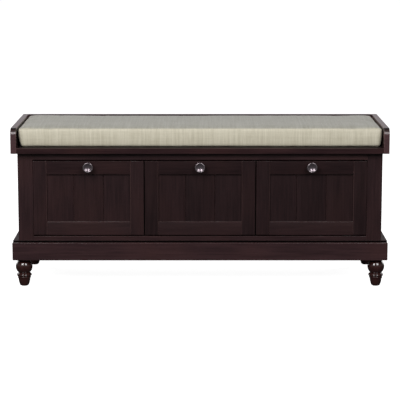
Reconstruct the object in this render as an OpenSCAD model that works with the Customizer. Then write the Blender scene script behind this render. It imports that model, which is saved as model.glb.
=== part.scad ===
// Storage bench: a low cabinet with three panelled drawers on a plinth with turned feet,
// and a tray seat on top that holds a loose cushion.
// Units are millimetres. +Z is up, +X runs along the bench and the drawers open towards -Y.
// The origin is on the floor, under the middle of the bench.

/* [Overall] */
// Length of the plinth and of the tray
bench_w = 1200; // [1000:10:1450]
// Depth of the plinth and of the tray
bench_d = 400; // [330:5:480]
// Thickness of the tray, side, frame and drawer front boards
board_t = 18; // [15:0.5:22]

/* [Feet] */
// Height of a foot, glide included
foot_h = 88; // [73:1:120]
// Distance from the plinth's faces to the middle of a foot
foot_inset = 33.5; // [30:0.5:45]
// Diameter of the ball
ball_d = 54; // [48:1:64]
// Distance from the top of a foot down to the middle of its ball
ball_drop = 25; // [22:1:26]
// Diameter of the neck under the ball
neck_d = 39; // [30:1:42]
// Diameter of the turned ring
ring_d = 48; // [44:1:52]
// Height of the turned ring
ring_h = 9; // [6:1:11]
// Distance from the middle of the ball down to the middle of the ring
ring_drop = 27; // [25:1:30]
// Diameter of the step under the ring
step_d = 42; // [38:1:43]
// Height of the step under the ring
step_h = 6; // [4:1:8]
// Diameter at the top of the taper
taper_d = 39; // [34:1:42]
// Diameter at the bottom of the taper
toe_d = 29; // [26:1:34]
// Diameter of the flat seat on top of a foot
seat_d = 30; // [24:1:36]
// Diameter of a glide
glide_d = 22; // [16:1:25]
// Thickness of a glide
glide_t = 2; // [1:0.5:3]
// Diameter of the bolt that holds a foot
bolt_d = 8; // [6:1:10]
// Length of that bolt inside the foot
bolt_in_foot = 32; // [25:1:40]
// Distance from that bolt's top end to the base board
bolt_space = 7; // [2:1:15]

/* [Plinth] */
// Height of the front apron
plinth_h = 57; // [45:1:80]
// Thickness of the aprons
plinth_t = 20; // [18:1:25]
// Width of the rebate behind the front apron's top edge
groove_w = 6; // [3:0.5:8]
// Depth of that rebate below the apron's top
groove_deep = 8; // [4:1:12]
// Gap between the front apron and the base board, which widens that rebate into a groove
shadow_gap = 3; // [1:0.5:5]
// Rounding of the front apron's top edge
apron_ease = 2.5; // [1:0.5:4]
// Thickness of the base board
base_t = 16; // [12:1:22]
// Height of the base board's top above the front apron
base_rise = 4; // [2:0.5:8]
// Length and width of a corner block
block_w = 60; // [50:1:80]

/* [Cabinet] */
// Width of the ledge at each end of the cabinet
side_ledge = 19; // [10:1:30]
// Width of the ledge in front of the cabinet
front_ledge = 23; // [20:1:35]
// Height of the cabinet between base board and tray
cabinet_h = 283; // [235:1:330]
// Width of the two front stiles
stile_w = 48; // [40:1:70]
// Height of the front top rail
top_rail_h = 22; // [18:1:30]
// Height of the front bottom rail
bottom_rail_h = 14; // [10:1:20]
// Thickness of the partitions between the drawers
divider_t = 15; // [12:1:18]
// Thickness of the back panel
back_t = 6; // [3:1:9]
// Distance from the cabinet's back edge to the back panel
back_inset = 3; // [0:1:6]
// Depth of the rebates that hold the back panel
back_rebate = 8; // [4:1:10]
// Width of the two stretchers under the seat board
stretcher_w = 70; // [50:1:90]

/* [Tray] */
// Height of the arms and the back rail above the seat board
tray_wall_h = 63; // [50:1:90]
// Radius of the arms' front top corner
arm_round = 22; // [10:1:30]

/* [Cushion] */
// Thickness of the cushion where it meets its edges
cushion_t = 58; // [45:1:80]
// Gap between the cushion and each arm
cushion_gap = 5; // [3:1:10]
// Distance from the tray's front edge to the cushion
cushion_setback = 30; // [20:1:45]
// Rounding of the cushion's long edges
cushion_round = 16; // [8:1:22]
// Gap under the cushion and behind it
cushion_clear = 0.5; // [0.3:0.1:3]

/* [Drawer fronts] */
// Gap between two drawer fronts
front_gap_mid = 4; // [2:0.5:6]
// Gap between an outer drawer front and its stile
front_gap_end = 1; // [1:0.5:4]
// Gap above and below the drawer fronts
front_gap_v = 4; // [2:0.5:5]
// Width of a drawer front's rails and stiles
frame_w = 43; // [36:1:60]
// Depth of the panel's face behind the frame's face
panel_recess = 7; // [4:1:9]
// Thickness of the panel
panel_t = 6; // [4:1:8]
// Depth that the panel goes into the frame
panel_tongue = 8; // [5:1:12]
// Play between the panel's edge and the bottom of its slot
panel_play = 1; // [0.5:0.5:2]
// Distance between the two V-grooves of a panel
plank_w = 95; // [70:1:110]
// Width of a V-groove
vee_w = 5; // [3:0.5:7]
// Depth of a V-groove
vee_deep = 2.5; // [1:0.5:3]

/* [Knobs] */
// Diameter of a knob
knob_d = 33; // [28:1:38]
// Distance that a knob stands out of the drawer front
knob_out = 23; // [20:0.5:30]
// Diameter of the dish in the knob's face
knob_dish_d = 25; // [18:1:26]
// Depth of that dish
knob_dish = 4.5; // [2:0.5:6]
// Thickness of the knob's rim
knob_rim = 4; // [2:0.5:6]
// Height of the flare that widens from the stem to the rim
knob_flare = 6; // [3:0.5:8]
// Diameter of the knob's stem
knob_stem_d = 13; // [10:1:16]
// Diameter of the knob's foot
knob_foot_d = 20; // [16:1:24]
// Thickness of the knob's foot
knob_foot_t = 3; // [2:0.5:4]
// Height of the knob's middle above the middle of the top rail of its drawer front
knob_rise = 3; // [0:0.5:8]
// Diameter of the knob's screw
knob_screw_d = 4; // [3:0.5:5]
// Length of that screw inside the knob
knob_screw_in = 12; // [8:1:14]

/* [Drawer boxes] */
// Thickness of a drawer box's boards
box_t = 12; // [9:1:15]
// Distance from the middle of a knob down to the top edge of the drawer box
box_drop = 16.5; // [10:0.5:60]
// Height of a drawer box's bottom edge above the bottom rail
box_lift = 8; // [5:1:15]
// Thickness of a drawer's bottom
bottom_t = 4; // [3:1:6]
// Height of the drawer's bottom above the box's bottom edge
bottom_up = 8; // [6:1:12]
// Depth of the slots that hold the drawer's bottom
bottom_slot = 6; // [4:1:7]
// Space behind a closed drawer box
box_back_space = 40; // [20:1:60]

/* [Runners] */
// Space for a runner on each side of a drawer box
runner_gap = 13; // [12:0.5:16]
// Height of a fixed runner
runner_h = 36; // [30:1:45]
// Sheet thickness of a fixed runner
runner_t = 1.5; // [1:0.5:2]
// Clearance around a sliding runner
runner_clear = 0.75; // [0.5:0.25:1.5]
// Height of the runners' middle above the box's bottom edge
runner_up = 60; // [40:1:100]
// Distance from a runner's ends to the ends of the drawer box
runner_end = 5; // [2:1:15]
// Height of the packers behind the outer runners
packer_h = 60; // [45:1:80]

/* [Screws] */
// Diameter of the screws under the seat board
screw_d = 4.5; // [3.5:0.5:5]
// Length of those screws inside the seat board
screw_in = 12; // [8:0.5:13]
// Diameter of a screw's head
head_d = 9; // [7:0.5:10]
// Thickness of a screw's head
head_t = 2.5; // [2:0.5:3.5]
// Clearance around screws and bolts in their holes
hole_play = 0.15; // [0.05:0.05:0.3]

/* [Hidden] */

$fn = 64;
// Length by which a cutting shape runs past the surface that it cuts
over = 1;
// Places of the three drawers, counted in bays from the middle
LEFT = -1;
MIDDLE = 0;
RIGHT = 1;

// Outside of the plinth and of the tray
half_w = bench_w / 2;
front_y = -bench_d / 2;
back_y = bench_d / 2;

// Heights, from the floor up
apron_top = foot_h + plinth_h;
base_top = apron_top + base_rise;
base_low = base_top - base_t;
tray_low = base_top + cabinet_h;
seat_top = tray_low + board_t;
tray_top = seat_top + tray_wall_h;

// Feet
foot_x = half_w - foot_inset;
foot_y = back_y - foot_inset;
ball_z = foot_h - ball_drop;
ring_z = ball_z - ring_drop;
step_low = ring_z - ring_h / 2 - step_h;
bolt_low = foot_h - bolt_in_foot;
bolt_l = base_low - bolt_space - bolt_low;

// Cabinet
cabinet_x = half_w - side_ledge;
inner_x = cabinet_x - board_t;
base_front_y = front_y + plinth_t + shadow_gap;
face_y = front_y + front_ledge;
frame_back_y = face_y + board_t;
back_panel_y = back_y - back_inset - back_t;
stretcher_low = tray_low - board_t;
opening_x = cabinet_x - stile_w;

// Drawer fronts
front_w = (2 * opening_x - 2 * front_gap_mid - 2 * front_gap_end) / 3;
front_low = base_top + bottom_rail_h + front_gap_v;
front_high = tray_low - top_rail_h - front_gap_v;
pitch = front_w + front_gap_mid;
sight_x = front_w / 2 - frame_w;
sight_low = front_low + frame_w;
sight_high = front_high - frame_w;
panel_y = face_y + panel_recess;
knob_z = front_high - frame_w / 2 + knob_rise;

// Drawer bays and boxes
bay_w = pitch - divider_t;
box_x = bay_w / 2 - runner_gap;
box_low = base_top + bottom_rail_h + box_lift;
box_high = knob_z - box_drop;
box_back_y = back_panel_y - box_back_space;
bottom_low = box_low + bottom_up;
runner_z = box_low + runner_up;
runner_front_y = frame_back_y + runner_end;
runner_back_y = box_back_y - runner_end;
packer_x = 1.5 * pitch - divider_t / 2;

// Seat screws
screw_xs = [-0.8 * inner_x, 0, 0.8 * inner_x];
stretcher_ys = [frame_back_y + stretcher_w / 2, back_panel_y - stretcher_w / 2];

ESPRESSO = "#33272a";
ESPRESSO_DARK = "#2a1f21";
BIRCH = "#c9ad84";
STEEL = "#a9adb2";
BRONZE = "#5a5052";
LINEN = "#bdb8a4";
NYLON = "#3c3c3c";

// A box between two opposite corners
module slab(low, high) {
    translate(low) cube(high - low);
}

// The children and their mirror image in the YZ plane
module left_and_right() {
    children();
    mirror([1, 0, 0]) children();
}

// The children moved to the drawer in bay k
module in_bay(k) {
    translate([k * pitch, 0, 0]) children();
}

// A flat shape of Y and Z drawn along X from x0 to x1
module along_x(x0, x1) {
    translate([x0, 0, 0]) rotate([90, 0, 90]) linear_extrude(x1 - x0) children();
}

// The children mirrored along an axis, if flipped is true
module flip(flipped, axis) {
    if (flipped) mirror(axis) children();
    else children();
}

// The children, modelled on the right, put on the given side
module on_side(side) {
    flip(side < 0, [1, 0, 0]) children();
}

// What a rounding of radius r takes off a corner at the origin, where sx and sy point inwards
module corner_waste(r, sx, sy) {
    flip(sx < 0, [1, 0]) flip(sy < 0, [0, 1]) difference() {
        translate([-over, -over]) square(r + over);
        translate([r, r]) circle(r);
    }
}

// A straight round bar along Z, from z0 up
module bar(d, z0, h) {
    translate([0, 0, z0]) cylinder(d = d, h = h);
}

// ---- Feet ----

module foot_shape() {
    color(ESPRESSO_DARK) difference() {
        union() {
            bar(seat_d, ball_z, ball_drop);
            translate([0, 0, ball_z]) sphere(d = ball_d);
            bar(neck_d, step_low, ball_z - step_low);
            rotate_extrude() translate([ring_d / 2 - ring_h / 2, ring_z]) circle(d = ring_h);
            bar(step_d, step_low, step_h);
            translate([0, 0, glide_t]) cylinder(d1 = toe_d, d2 = taper_d, h = step_low - glide_t);
        }
        bar(ball_d, foot_h, ball_d);
        bar(bolt_d + 2 * hole_play, bolt_low, bolt_in_foot + over);
    }
}

module foot(sx, sy) {
    translate([sx * foot_x, sy * foot_y, 0]) foot_shape();
}

// The children at each of the four feet
module at_feet() {
    for (sx = [-1, 1], sy = [-1, 1]) translate([sx * foot_x, sy * foot_y, 0]) children();
}

module foot_bolts() {
    color(STEEL) at_feet() bar(bolt_d, bolt_low, bolt_l);
}

module foot_glides() {
    color(NYLON) at_feet() bar(glide_d, 0, glide_t);
}

// ---- Plinth ----

module base_board() {
    color(ESPRESSO) slab([-half_w, base_front_y, base_low], [half_w, back_y, base_top]);
}

module plinth_front() {
    color(ESPRESSO) along_x(-half_w, half_w) difference() {
        translate([front_y, foot_h]) square([plinth_t, plinth_h]);
        translate([front_y, apron_top]) corner_waste(apron_ease, 1, -1);
        translate([front_y + plinth_t - groove_w, apron_top - groove_deep])
            square([groove_w + over, groove_deep + over]);
    }
}

module plinth_side(side) {
    color(ESPRESSO) on_side(side)
        slab([half_w - plinth_t, front_y + plinth_t, foot_h], [half_w, back_y - plinth_t, base_low]);
}

module plinth_back() {
    color(ESPRESSO) slab([-half_w, back_y - plinth_t, foot_h], [half_w, back_y, base_low]);
}

module corner_blocks() {
    outer_x = half_w - plinth_t;
    outer_y = back_y - plinth_t;
    color(BIRCH) difference() {
        for (sx = [0, 1], sy = [0, 1]) mirror([sx, 0, 0]) mirror([0, sy, 0])
            slab([outer_x - block_w, outer_y - block_w, foot_h], [outer_x, outer_y, base_low]);
        at_feet() bar(bolt_d + 2 * hole_play, foot_h - over, base_low - foot_h + 2 * over);
    }
}

// ---- Cabinet ----

module side_panel(side) {
    color(ESPRESSO) on_side(side) difference() {
        slab([inner_x, frame_back_y, base_top], [cabinet_x, back_y, tray_low]);
        slab([inner_x - over, back_panel_y, base_top - over],
            [inner_x + back_rebate, back_y + over, tray_low + over]);
    }
}

module stile(side) {
    color(ESPRESSO) on_side(side)
        slab([opening_x, face_y, base_top], [cabinet_x, frame_back_y, tray_low]);
}

module top_rail() {
    color(ESPRESSO)
        slab([-opening_x, face_y, tray_low - top_rail_h], [opening_x, frame_back_y, tray_low]);
}

module bottom_rail() {
    color(ESPRESSO)
        slab([-opening_x, face_y, base_top], [opening_x, frame_back_y, base_top + bottom_rail_h]);
}

module divider(side) {
    color(ESPRESSO) translate([side * pitch / 2, 0, 0])
        slab([-divider_t / 2, frame_back_y, base_top], [divider_t / 2, back_panel_y, stretcher_low]);
}

module back_panel() {
    reach = inner_x + back_rebate;
    color(ESPRESSO_DARK)
        slab([-reach, back_panel_y, base_top], [reach, back_panel_y + back_t, tray_low]);
}

module top_stretchers() {
    color(BIRCH) difference() {
        for (y = stretcher_ys)
            slab([-inner_x, y - stretcher_w / 2, stretcher_low],
                [inner_x, y + stretcher_w / 2, tray_low]);
        at_seat_screws() bar(screw_d + 2 * hole_play, stretcher_low - over, board_t + 2 * over);
    }
}

// The children at each of the screws under the seat board
module at_seat_screws() {
    for (x = screw_xs, y = stretcher_ys) translate([x, y, 0]) children();
}

module seat_screws() {
    color(STEEL) at_seat_screws() {
        bar(head_d, stretcher_low - head_t, head_t);
        bar(screw_d, stretcher_low - head_t, head_t + board_t + screw_in);
    }
}

// ---- Runners ----

module runner_packers() {
    color(BIRCH) left_and_right()
        slab([packer_x, frame_back_y, runner_z - packer_h / 2],
            [inner_x, back_panel_y, runner_z + packer_h / 2]);
}

// Fixed runner on the right-hand wall of the middle bay: a channel that opens towards the box
module fixed_runner() {
    wall = bay_w / 2;
    depth = runner_gap - runner_clear;
    difference() {
        slab([wall - depth, runner_front_y, runner_z - runner_h / 2],
            [wall, runner_back_y, runner_z + runner_h / 2]);
        slab([wall - depth - over, runner_front_y - over, runner_z - runner_h / 2 + runner_t],
            [wall - runner_t, runner_back_y + over, runner_z + runner_h / 2 - runner_t]);
    }
}

module fixed_runners() {
    color(STEEL) for (k = [LEFT, MIDDLE, RIGHT]) in_bay(k) left_and_right() fixed_runner();
}

module drawer_runners(k) {
    half = runner_h / 2 - runner_t - runner_clear;
    color(STEEL) in_bay(k) left_and_right()
        slab([box_x, runner_front_y, runner_z - half],
            [bay_w / 2 - runner_t - runner_clear, runner_back_y, runner_z + half]);
}

// ---- Tray and cushion ----

module seat_board() {
    color(ESPRESSO) difference() {
        slab([-half_w + board_t, front_y, tray_low], [half_w - board_t, back_y, seat_top]);
        at_seat_screws()
            bar(screw_d + 2 * hole_play, tray_low - over, screw_in + hole_play + over);
    }
}

module arm(side) {
    color(ESPRESSO) on_side(side) along_x(half_w - board_t, half_w)
        difference() {
            translate([front_y, tray_low]) square([bench_d, tray_top - tray_low]);
            translate([front_y, tray_top]) corner_waste(arm_round, 1, -1);
        }
}

module back_rail() {
    color(ESPRESSO)
        slab([-half_w + board_t, back_y - board_t, seat_top], [half_w - board_t, back_y, tray_top]);
}

module cushion() {
    reach = half_w - board_t - cushion_gap;
    y0 = front_y + cushion_setback;
    y1 = back_y - board_t - cushion_clear;
    z0 = seat_top + cushion_clear;
    z1 = z0 + cushion_t;
    color(LINEN) along_x(-reach, reach) difference() {
        translate([y0, z0]) square([y1 - y0, z1 - z0]);
        translate([y0, z1]) corner_waste(cushion_round, 1, -1);
        translate([y1, z1]) corner_waste(cushion_round, -1, -1);
    }
}

// ---- Drawer fronts ----

// The slot around the inside of a drawer front's frame that takes the panel
module panel_slot() {
    slab([-sight_x - panel_tongue, panel_y, sight_low - panel_tongue],
        [sight_x + panel_tongue, panel_y + panel_t, sight_high + panel_tongue]);
}

module front_stiles(k) {
    color(ESPRESSO) in_bay(k) difference() {
        left_and_right()
            slab([sight_x, face_y, front_low], [front_w / 2, frame_back_y, front_high]);
        panel_slot();
    }
}

module front_rails(k) {
    color(ESPRESSO) in_bay(k) difference() {
        for (z = [front_low, sight_high])
            slab([-sight_x, face_y, z], [sight_x, frame_back_y, z + frame_w]);
        panel_slot();
        translate([0, face_y - over, knob_z]) rotate([-90, 0, 0])
            cylinder(d = knob_screw_d + 2 * hole_play, h = board_t + 2 * over);
    }
}

module front_panel(k) {
    tongue = panel_tongue - panel_play;
    color(ESPRESSO) in_bay(k) difference() {
        slab([-sight_x - tongue, panel_y, sight_low - tongue],
            [sight_x + tongue, panel_y + panel_t, sight_high + tongue]);
        for (x = [-plank_w / 2, plank_w / 2]) translate([x, panel_y, sight_low - panel_tongue])
            linear_extrude(sight_high - sight_low + 2 * panel_tongue)
                polygon([[-vee_w / 2, 0], [0, vee_deep], [vee_w / 2, 0], [0, -over]]);
    }
}

// ---- Knobs ----

module knob(k) {
    dish_r = (pow(knob_dish_d / 2, 2) + pow(knob_dish, 2)) / (2 * knob_dish);
    rim_z = knob_out - knob_rim;
    color(BRONZE) in_bay(k) translate([0, face_y, knob_z]) rotate([90, 0, 0]) difference() {
        union() {
            bar(knob_foot_d, 0, knob_foot_t);
            bar(knob_stem_d, 0, rim_z);
            translate([0, 0, rim_z - knob_flare])
                cylinder(d1 = knob_stem_d, d2 = knob_d, h = knob_flare);
            bar(knob_d, rim_z, knob_rim);
        }
        translate([0, 0, knob_out - knob_dish + dish_r]) sphere(dish_r);
        bar(knob_screw_d + 2 * hole_play, -over, knob_screw_in + over);
    }
}

module knob_screw(k) {
    color(STEEL) in_bay(k) translate([0, frame_back_y, knob_z]) rotate([90, 0, 0]) {
        bar(2 * knob_screw_d, -head_t, head_t);
        bar(knob_screw_d, -head_t, head_t + board_t + knob_screw_in - hole_play);
    }
}

// ---- Drawer boxes ----

// The slot around the inside of a drawer box that takes its bottom
module bottom_slot_space() {
    reach = box_x - box_t + bottom_slot;
    slab([-reach, frame_back_y + box_t - bottom_slot, bottom_low],
        [reach, box_back_y + over, bottom_low + bottom_t]);
}

module box_sides(k) {
    color(BIRCH) in_bay(k) difference() {
        left_and_right()
            slab([box_x - box_t, frame_back_y, box_low], [box_x, box_back_y, box_high]);
        bottom_slot_space();
    }
}

module box_front(k) {
    color(BIRCH) in_bay(k) difference() {
        slab([-box_x + box_t, frame_back_y, box_low],
            [box_x - box_t, frame_back_y + box_t, box_high]);
        bottom_slot_space();
    }
}

module box_back(k) {
    color(BIRCH) in_bay(k)
        slab([-box_x + box_t, box_back_y - box_t, bottom_low + bottom_t],
            [box_x - box_t, box_back_y, box_high]);
}

module box_bottom(k) {
    reach = box_x - box_t + bottom_slot;
    color(BIRCH) in_bay(k)
        slab([-reach, frame_back_y + box_t - bottom_slot, bottom_low],
            [reach, box_back_y, bottom_low + bottom_t]);
}

base_board();
plinth_front();
plinth_side(LEFT);  // plinth_left
plinth_side(RIGHT);  // plinth_right
plinth_back();
corner_blocks();
foot(-1, -1);  // foot_front_left
foot(1, -1);  // foot_front_right
foot(-1, 1);  // foot_back_left
foot(1, 1);  // foot_back_right
foot_bolts();
foot_glides();
side_panel(LEFT);  // side_panel_left
side_panel(RIGHT);  // side_panel_right
stile(LEFT);  // stile_left
stile(RIGHT);  // stile_right
top_rail();
bottom_rail();
divider(LEFT);  // divider_left
divider(RIGHT);  // divider_right
runner_packers();
back_panel();
top_stretchers();
seat_screws();
fixed_runners();
seat_board();
arm(LEFT);  // arm_left
arm(RIGHT);  // arm_right
back_rail();
cushion();
front_stiles(LEFT);  // left_front_stiles
front_rails(LEFT);  // left_front_rails
front_panel(LEFT);  // left_front_panel
knob(LEFT);  // left_knob
knob_screw(LEFT);  // left_knob_screw
box_sides(LEFT);  // left_box_sides
box_front(LEFT);  // left_box_front
box_back(LEFT);  // left_box_back
box_bottom(LEFT);  // left_box_bottom
drawer_runners(LEFT);  // left_runners
front_stiles(MIDDLE);  // middle_front_stiles
front_rails(MIDDLE);  // middle_front_rails
front_panel(MIDDLE);  // middle_front_panel
knob(MIDDLE);  // middle_knob
knob_screw(MIDDLE);  // middle_knob_screw
box_sides(MIDDLE);  // middle_box_sides
box_front(MIDDLE);  // middle_box_front
box_back(MIDDLE);  // middle_box_back
box_bottom(MIDDLE);  // middle_box_bottom
drawer_runners(MIDDLE);  // middle_runners
front_stiles(RIGHT);  // right_front_stiles
front_rails(RIGHT);  // right_front_rails
front_panel(RIGHT);  // right_front_panel
knob(RIGHT);  // right_knob
knob_screw(RIGHT);  // right_knob_screw
box_sides(RIGHT);  // right_box_sides
box_front(RIGHT);  // right_box_front
box_back(RIGHT);  // right_box_back
box_bottom(RIGHT);  // right_box_bottom
drawer_runners(RIGHT);  // right_runners
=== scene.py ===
"""Storage bench: eased boards, turned feet, dished knobs and a filled seat cushion.

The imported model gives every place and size. Each sub-assembly is a class that models its pieces
around it, and each finish is a small class that makes its own procedural material.
"""
import logging
import math
from contextlib import contextmanager
from dataclasses import dataclass
from enum import Enum
from typing import Any, Callable, Iterator

import bmesh
import bpy
from mathutils import Matrix, Vector, noise


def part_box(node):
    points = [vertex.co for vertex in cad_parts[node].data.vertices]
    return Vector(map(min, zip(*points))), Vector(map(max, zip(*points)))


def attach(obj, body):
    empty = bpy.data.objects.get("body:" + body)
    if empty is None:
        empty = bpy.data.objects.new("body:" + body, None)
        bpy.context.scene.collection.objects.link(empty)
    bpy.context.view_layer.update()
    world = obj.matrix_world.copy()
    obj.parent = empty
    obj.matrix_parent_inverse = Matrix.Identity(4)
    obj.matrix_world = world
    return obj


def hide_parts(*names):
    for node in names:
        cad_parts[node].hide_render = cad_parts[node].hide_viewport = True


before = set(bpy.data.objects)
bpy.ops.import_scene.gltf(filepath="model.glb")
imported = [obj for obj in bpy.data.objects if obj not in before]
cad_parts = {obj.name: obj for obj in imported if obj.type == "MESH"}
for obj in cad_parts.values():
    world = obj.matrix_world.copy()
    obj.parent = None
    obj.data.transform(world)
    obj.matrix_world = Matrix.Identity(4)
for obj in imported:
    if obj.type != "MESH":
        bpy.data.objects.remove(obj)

LOG = logging.getLogger("storage_bench")
MM = 0.001
TOLERANCE = 0.01 * MM
GOLDEN = 0.618034
Colour = tuple[float, float, float]
Point = tuple[float, float]


# ---- Shader expressions ----


class Value:
    """A shader socket that takes part in Python arithmetic."""

    def __init__(self, graph: "Graph", socket: bpy.types.NodeSocket | None) -> None:
        """Keep the socket and the graph that it belongs to."""
        self.graph = graph
        self.socket = socket

    def math(self, operation: str, *operands: Any) -> "Value":
        """Add one Math node.

        Args:
            operation: The Math node's operation.
            operands: Values or numbers, in the order of the node's sockets.

        Returns:
            The node's result.
        """
        settings = {"operation": operation}
        return self.graph.node("ShaderNodeMath", settings, dict(enumerate(operands)))

    def __add__(self, other: Any) -> "Value":
        """Return self + other."""
        return self.math("ADD", self, other)

    def __radd__(self, other: Any) -> "Value":
        """Return other + self."""
        return self.math("ADD", other, self)

    def __sub__(self, other: Any) -> "Value":
        """Return self - other."""
        return self.math("SUBTRACT", self, other)

    def __rsub__(self, other: Any) -> "Value":
        """Return other - self."""
        return self.math("SUBTRACT", other, self)

    def __mul__(self, other: Any) -> "Value":
        """Return self * other."""
        return self.math("MULTIPLY", self, other)

    def __rmul__(self, other: Any) -> "Value":
        """Return other * self."""
        return self.math("MULTIPLY", other, self)

    def sine(self) -> "Value":
        """Return the sine of self, in radians."""
        return self.math("SINE", self)

    def step(self, low: float, high: float) -> "Value":
        """Rise smoothly from 0 at low to 1 at high.

        Args:
            low: Where the step starts.
            high: Where the step ends; below low, the step falls instead.

        Returns:
            A number from 0 to 1.
        """
        settings = {"interpolation_type": "SMOOTHSTEP"}
        sockets = {0: self, 1: low, 2: high, 3: 0.0, 4: 1.0}
        return self.graph.node("ShaderNodeMapRange", settings, sockets)


class Graph:
    """The node tree of a material or of the world."""

    def __init__(self, tree: bpy.types.NodeTree) -> None:
        """Empty the tree, ready for new nodes."""
        self.tree = tree
        tree.nodes.clear()

    def node(
        self,
        kind: str,
        settings: dict[str, Any] | None = None,
        inputs: dict[int | str, Any] | None = None,
        output: int | str = 0,
    ) -> Value:
        """Add a node, set it up and join its sockets.

        Args:
            kind: The node's type.
            settings: The node's own settings, and "stops" for a colour ramp.
            inputs: A number, colour or Value for each socket, by name or place.
            output: Which of the node's outputs to give back.

        Returns:
            That output, or an empty Value where the node has none.
        """
        made = self.tree.nodes.new(kind)
        for name, setting in (settings or {}).items():
            if name == "stops":
                self._set_stops(made.color_ramp, setting)
            else:
                setattr(made, name, setting)
        for name, value in (inputs or {}).items():
            if isinstance(value, Value):
                self.tree.links.new(value.socket, made.inputs[name])
            else:
                made.inputs[name].default_value = value
        return Value(self, made.outputs[output] if len(made.outputs) else None)

    @staticmethod
    def _set_stops(ramp: bpy.types.ColorRamp, stops: list[tuple[float, float]]) -> None:
        """Give a ramp grey stops, each with its place and brightness.

        Args:
            ramp: The ramp.
            stops: The place and brightness of each stop.
        """
        while len(ramp.elements) < len(stops):
            ramp.elements.new(1.0)
        for element, (place, grey) in zip(ramp.elements, stops):
            element.position = place
            element.color = (grey, grey, grey, 1.0)

    def places(self) -> Value:
        """Return the surface's places in metres, shifted by each board's own seed.

        Returns:
            The shifted places.
        """
        seed = self.attribute("seed")
        apart = {0: seed * 3.1, 1: seed * 1.7, 2: seed * 2.3}
        offset = self.node("ShaderNodeCombineXYZ", {}, apart)
        here = self.node("ShaderNodeTexCoord", output="Object")
        return self.node("ShaderNodeVectorMath", {"operation": "ADD"}, {0: here, 1: offset})

    def attribute(self, name: str) -> Value:
        """Return a number that the mesh holds under a name."""
        return self.node("ShaderNodeAttribute", {"attribute_name": name}, output="Fac")

    def scaled(self, vector: Value, scale: tuple[float, float, float]) -> Value:
        """Return a vector with each axis multiplied by its scale."""
        return self.node("ShaderNodeVectorMath", {"operation": "MULTIPLY"}, {0: vector, 1: scale})

    def noise(
        self, vector: Value, scale: float, detail: float = 3.0, distortion: float = 0.0
    ) -> Value:
        """Return a soft random pattern.

        Args:
            vector: Where the pattern is read.
            scale: How many cells it has per unit.
            detail: How many finer layers it has.
            distortion: How much it is warped.

        Returns:
            A number around 0.5.
        """
        inputs = {"Vector": vector, "Scale": scale, "Detail": detail, "Distortion": distortion}
        return self.node("ShaderNodeTexNoise", {}, inputs)

    def blend(self, factor: Any, first: Any, second: Any, kind: str = "MIX") -> Value:
        """Mix two colours.

        Args:
            factor: Share of the second colour.
            first: A colour or a Value.
            second: A colour or a Value.
            kind: The way in which they are mixed.

        Returns:
            The mixed colour.
        """
        settings = {"data_type": "RGBA", "blend_type": kind}
        sockets = {0: factor, 6: paint(first), 7: paint(second)}
        return self.node("ShaderNodeMix", settings, sockets, 2)

    def bump(self, height: Value, distance: float, strength: float) -> Value:
        """Return a normal that follows a height.

        Args:
            height: The relief, as a share of distance.
            distance: How deep the relief is, in metres.
            strength: How strongly it shows.

        Returns:
            The normal.
        """
        inputs = {"Height": height, "Distance": distance, "Strength": strength}
        return self.node("ShaderNodeBump", {}, inputs)

    def surface(self, **sockets: Any) -> None:
        """End the graph in a Principled surface; its sockets go by name, with _ for spaces."""
        named = {name.replace("_", " "): paint(value) for name, value in sockets.items()}
        shader = self.node("ShaderNodeBsdfPrincipled", {}, named)
        self.node("ShaderNodeOutputMaterial", {}, {"Surface": shader})


def paint(value: Any) -> Any:
    """Return a colour with its fourth number, and anything else as it is."""
    return (*value, 1.0) if isinstance(value, tuple) and len(value) == 3 else value


# ---- Finishes ----


class Grain(Enum):
    """The way that the fibres of a board run, as the stretch of its pattern."""

    ALONG_X = (0.05, 1.0, 1.0)
    ALONG_Y = (1.0, 0.05, 1.0)
    ALONG_Z = (1.0, 1.0, 0.05)


class Coats(Enum):
    """How thickly a board is lacquered, as base gloss, coat weight, coat roughness and coat IOR."""

    THIN = (0.04, 0.05, 0.35, 1.5)
    SATIN = (0.14, 0.45, 0.20, 1.5)
    FULL = (0.20, 0.80, 0.20, 1.5)
    GLOSS = (0.02, 1.00, 0.05, 1.7)


@dataclass(frozen=True)
class Finish:
    """A surface finish and the record's slot that it stands for."""

    slot: str = ""

    def weave(self, graph: Graph) -> None:
        """Fill the material's graph.

        Args:
            graph: The material's graph.
        """
        raise NotImplementedError

    def material(self) -> bpy.types.Material:
        """Return this finish's material, which is made once and shared.

        Returns:
            The material, whose name tells it from the others.
        """
        name = "_".join(str(part.name if isinstance(part, Enum) else part) for part in self.words())
        made = bpy.data.materials.get(name)
        if made is None:
            made = bpy.data.materials.new(name)
            made.use_nodes = True
            self.weave(Graph(made.node_tree))
        return made

    def words(self) -> list[Any]:
        """Return what the material's name is made of."""
        return [type(self).__name__.lower()]


Pieces = dict[str, tuple[bpy.types.Object, Finish]]


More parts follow.
